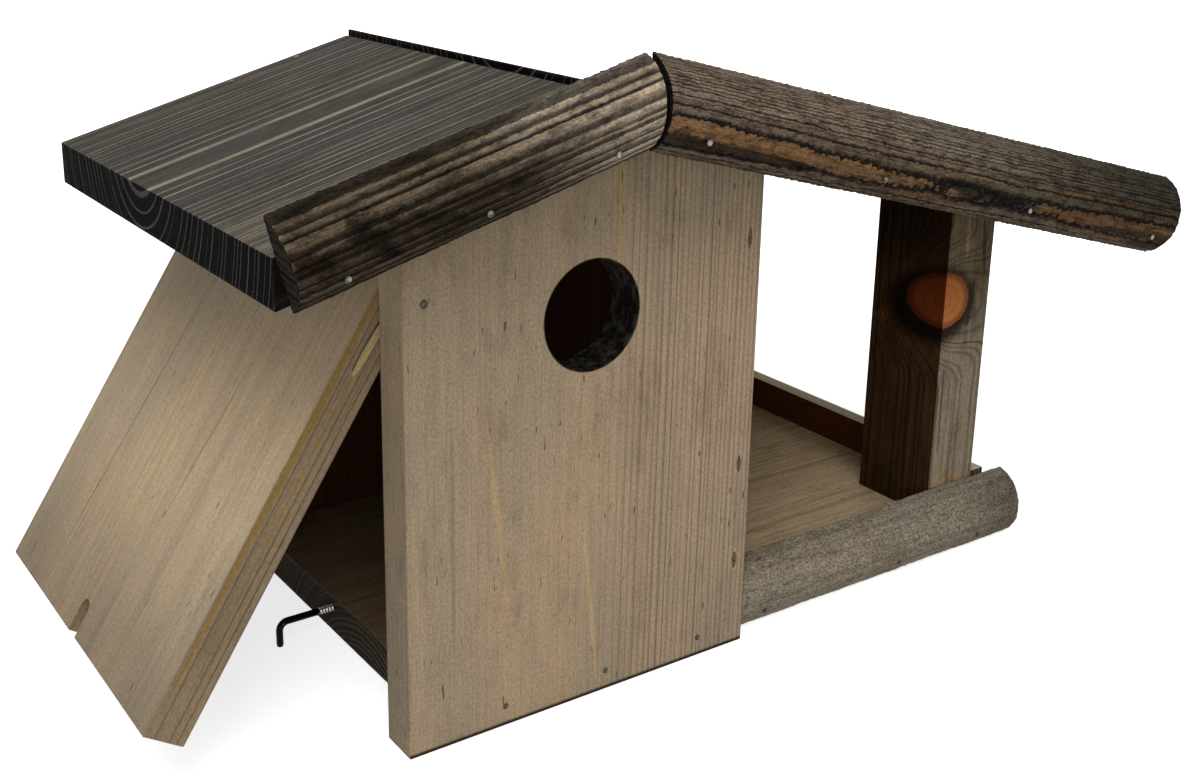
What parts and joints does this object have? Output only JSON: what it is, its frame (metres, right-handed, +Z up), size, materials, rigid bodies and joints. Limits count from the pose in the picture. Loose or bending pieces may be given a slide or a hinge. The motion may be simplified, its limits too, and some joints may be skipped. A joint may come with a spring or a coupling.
{
  "type": "birdhouse",
  "caption": "Wooden nest box with a round entry, a tilting side door held by a turn hook, a low gabled roof with half-round trims, and an open feeder tray under its longer side.",
  "frame": {"origin": "middle of the base board's underside, on the ground the house stands on", "axes": "+X along the house from the nest to the feeder, +Y from the front with the entry hole to the back, +Z up"},
  "size_m": [0.5183, 0.2435, 0.2731],
  "materials": {
    "wall_wood": "stained, weathered",
    "door_wood": "stained, weathered",
    "floor_wood": "stained",
    "post_wood": "stained",
    "roof_wood": "dark stain",
    "trim_wood": "dark stain",
    "tray_trim_wood": "stained, weathered",
    "lath_wood": "stained",
    "dark_steel": "dark plated",
    "nail_steel": "bright"
  },
  "bodies": {
    "house": {"base_board": "floor_wood", "front_panel": "wall_wood", "back_panel": "wall_wood", "feeder_back_panel": "wall_wood", "partition_wall": "wall_wood", "feeder_post": "post_wood", "roof_board_left": "roof_wood", "roof_board_right": "roof_wood", "roof_trim_left": "trim_wood", "roof_trim_right": "trim_wood", "tray_front_trim": "tray_trim_wood", "tray_end_lath": "lath_wood", "hinge_nail_front": "nail_steel", "hinge_nail_back": "nail_steel", "front_panel_nails": "nail_steel", "back_panel_nails": "nail_steel", "feeder_back_nails": "nail_steel", "base_nails": "nail_steel", "roof_board_nails": "nail_steel", "roof_trim_nails": "nail_steel", "tray_trim_nails": "nail_steel", "lath_nails": "nail_steel"},
    "door": {"side_door": "door_wood"},
    "hook": {"latch_hook": "dark_steel"}
  },
  "joints": [
    {"name": "door_hinge", "type": "hinge", "parent": "house", "child": "door", "pos_m": [-0.17125, 0, 0.18576], "axis": [0, 1, 0], "range_deg": [-33, 55]},
    {"name": "hook_turn", "type": "hinge", "parent": "house", "child": "hook", "pos_m": [-0.16175, 0, 0.0125], "axis": [-1, 0, 0], "range_deg": [0, 180]}
  ]
}
